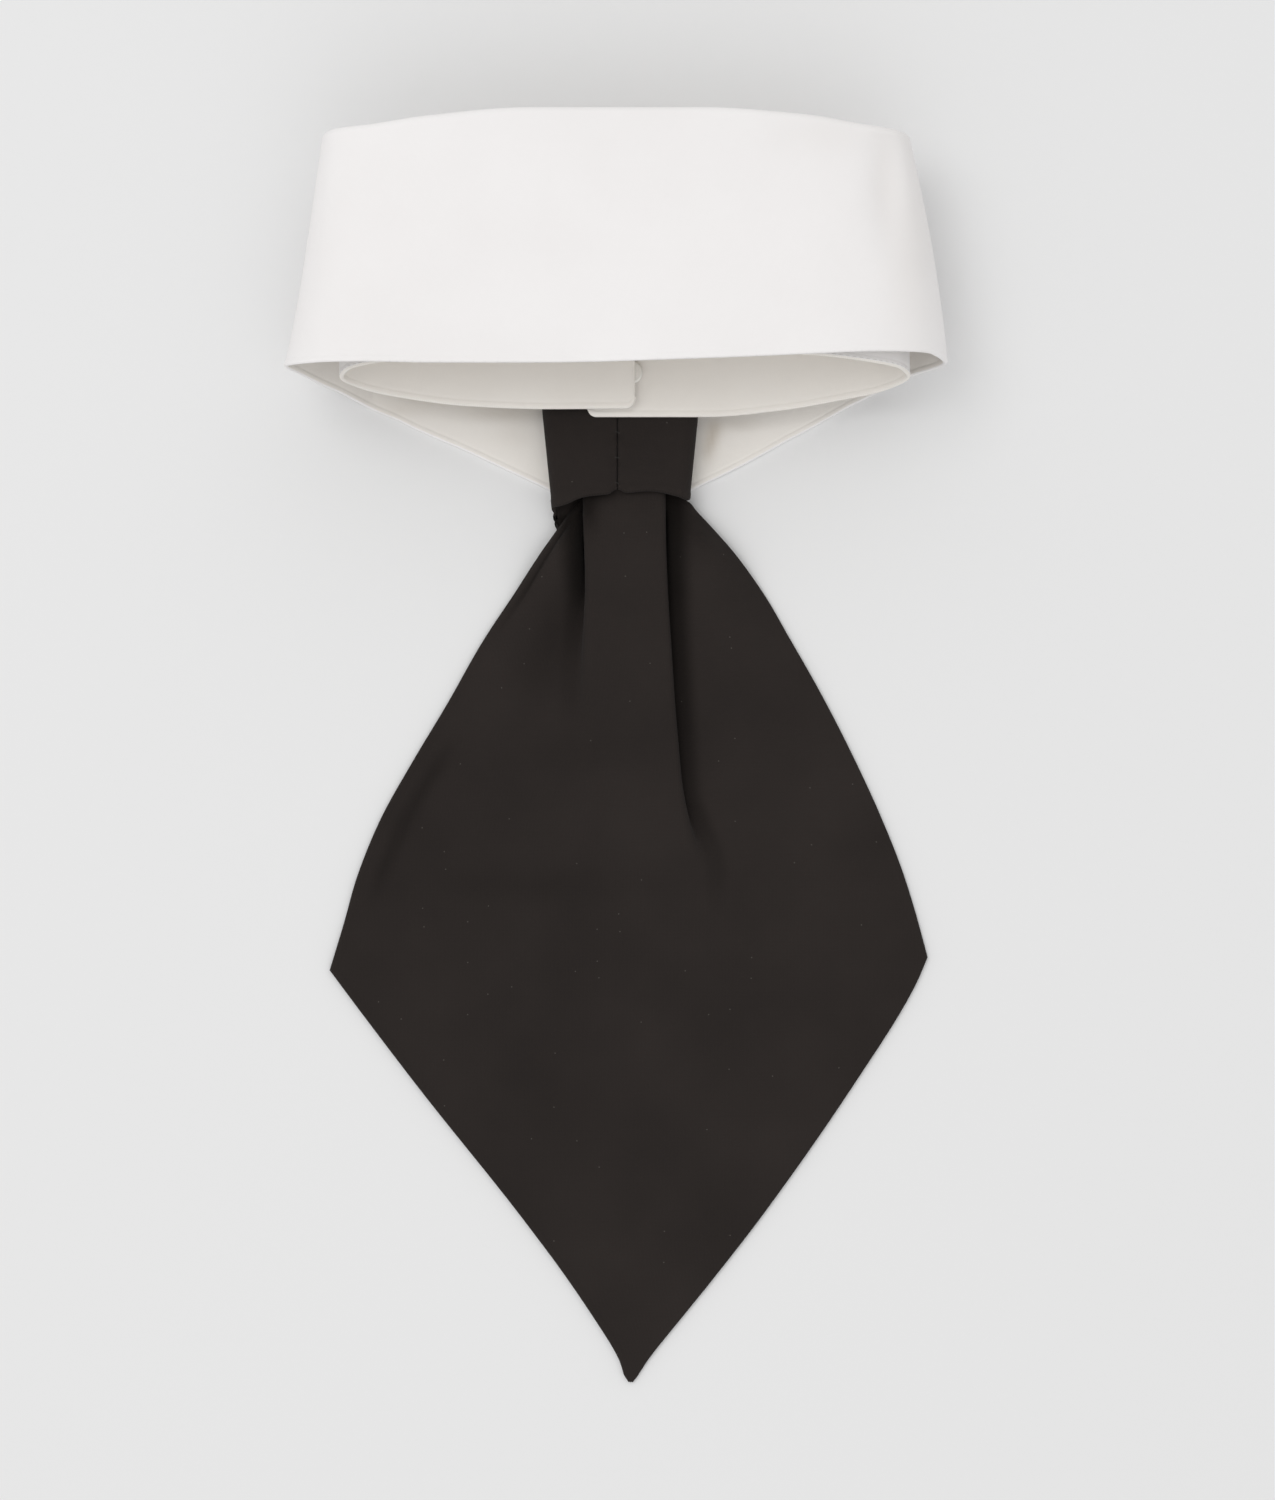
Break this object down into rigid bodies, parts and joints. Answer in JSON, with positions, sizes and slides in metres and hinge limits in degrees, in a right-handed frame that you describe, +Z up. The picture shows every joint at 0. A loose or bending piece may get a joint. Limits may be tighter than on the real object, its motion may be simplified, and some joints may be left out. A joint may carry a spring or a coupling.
{
  "type": "bib collar necktie",
  "caption": "White fold collar closed in a loop, with a ready-tied black wide tie hanging from its front, lying face down.",
  "frame": {"origin": "on the table, under the middle of the whole piece as it lies face down", "axes": "+X to the right across the neck, +Y from the tie's tip to the collar's fold, +Z up from the table"},
  "size_m": [0.1984, 0.3824, 0.0518],
  "materials": {
    "collar_cotton": "matt white stiffened cotton, fine plain weave",
    "tie_cloth": "matt black suiting, fine plain weave",
    "snap_metal": "pressed metal, lightly dulled"
  },
  "bodies": {
    "root": {"collar_fall": "collar_cotton", "collar_stand": "collar_cotton", "snap_fastener": "snap_metal", "tie_knot": "tie_cloth", "tie_blade": "tie_cloth"}
  },
  "joints": []
}
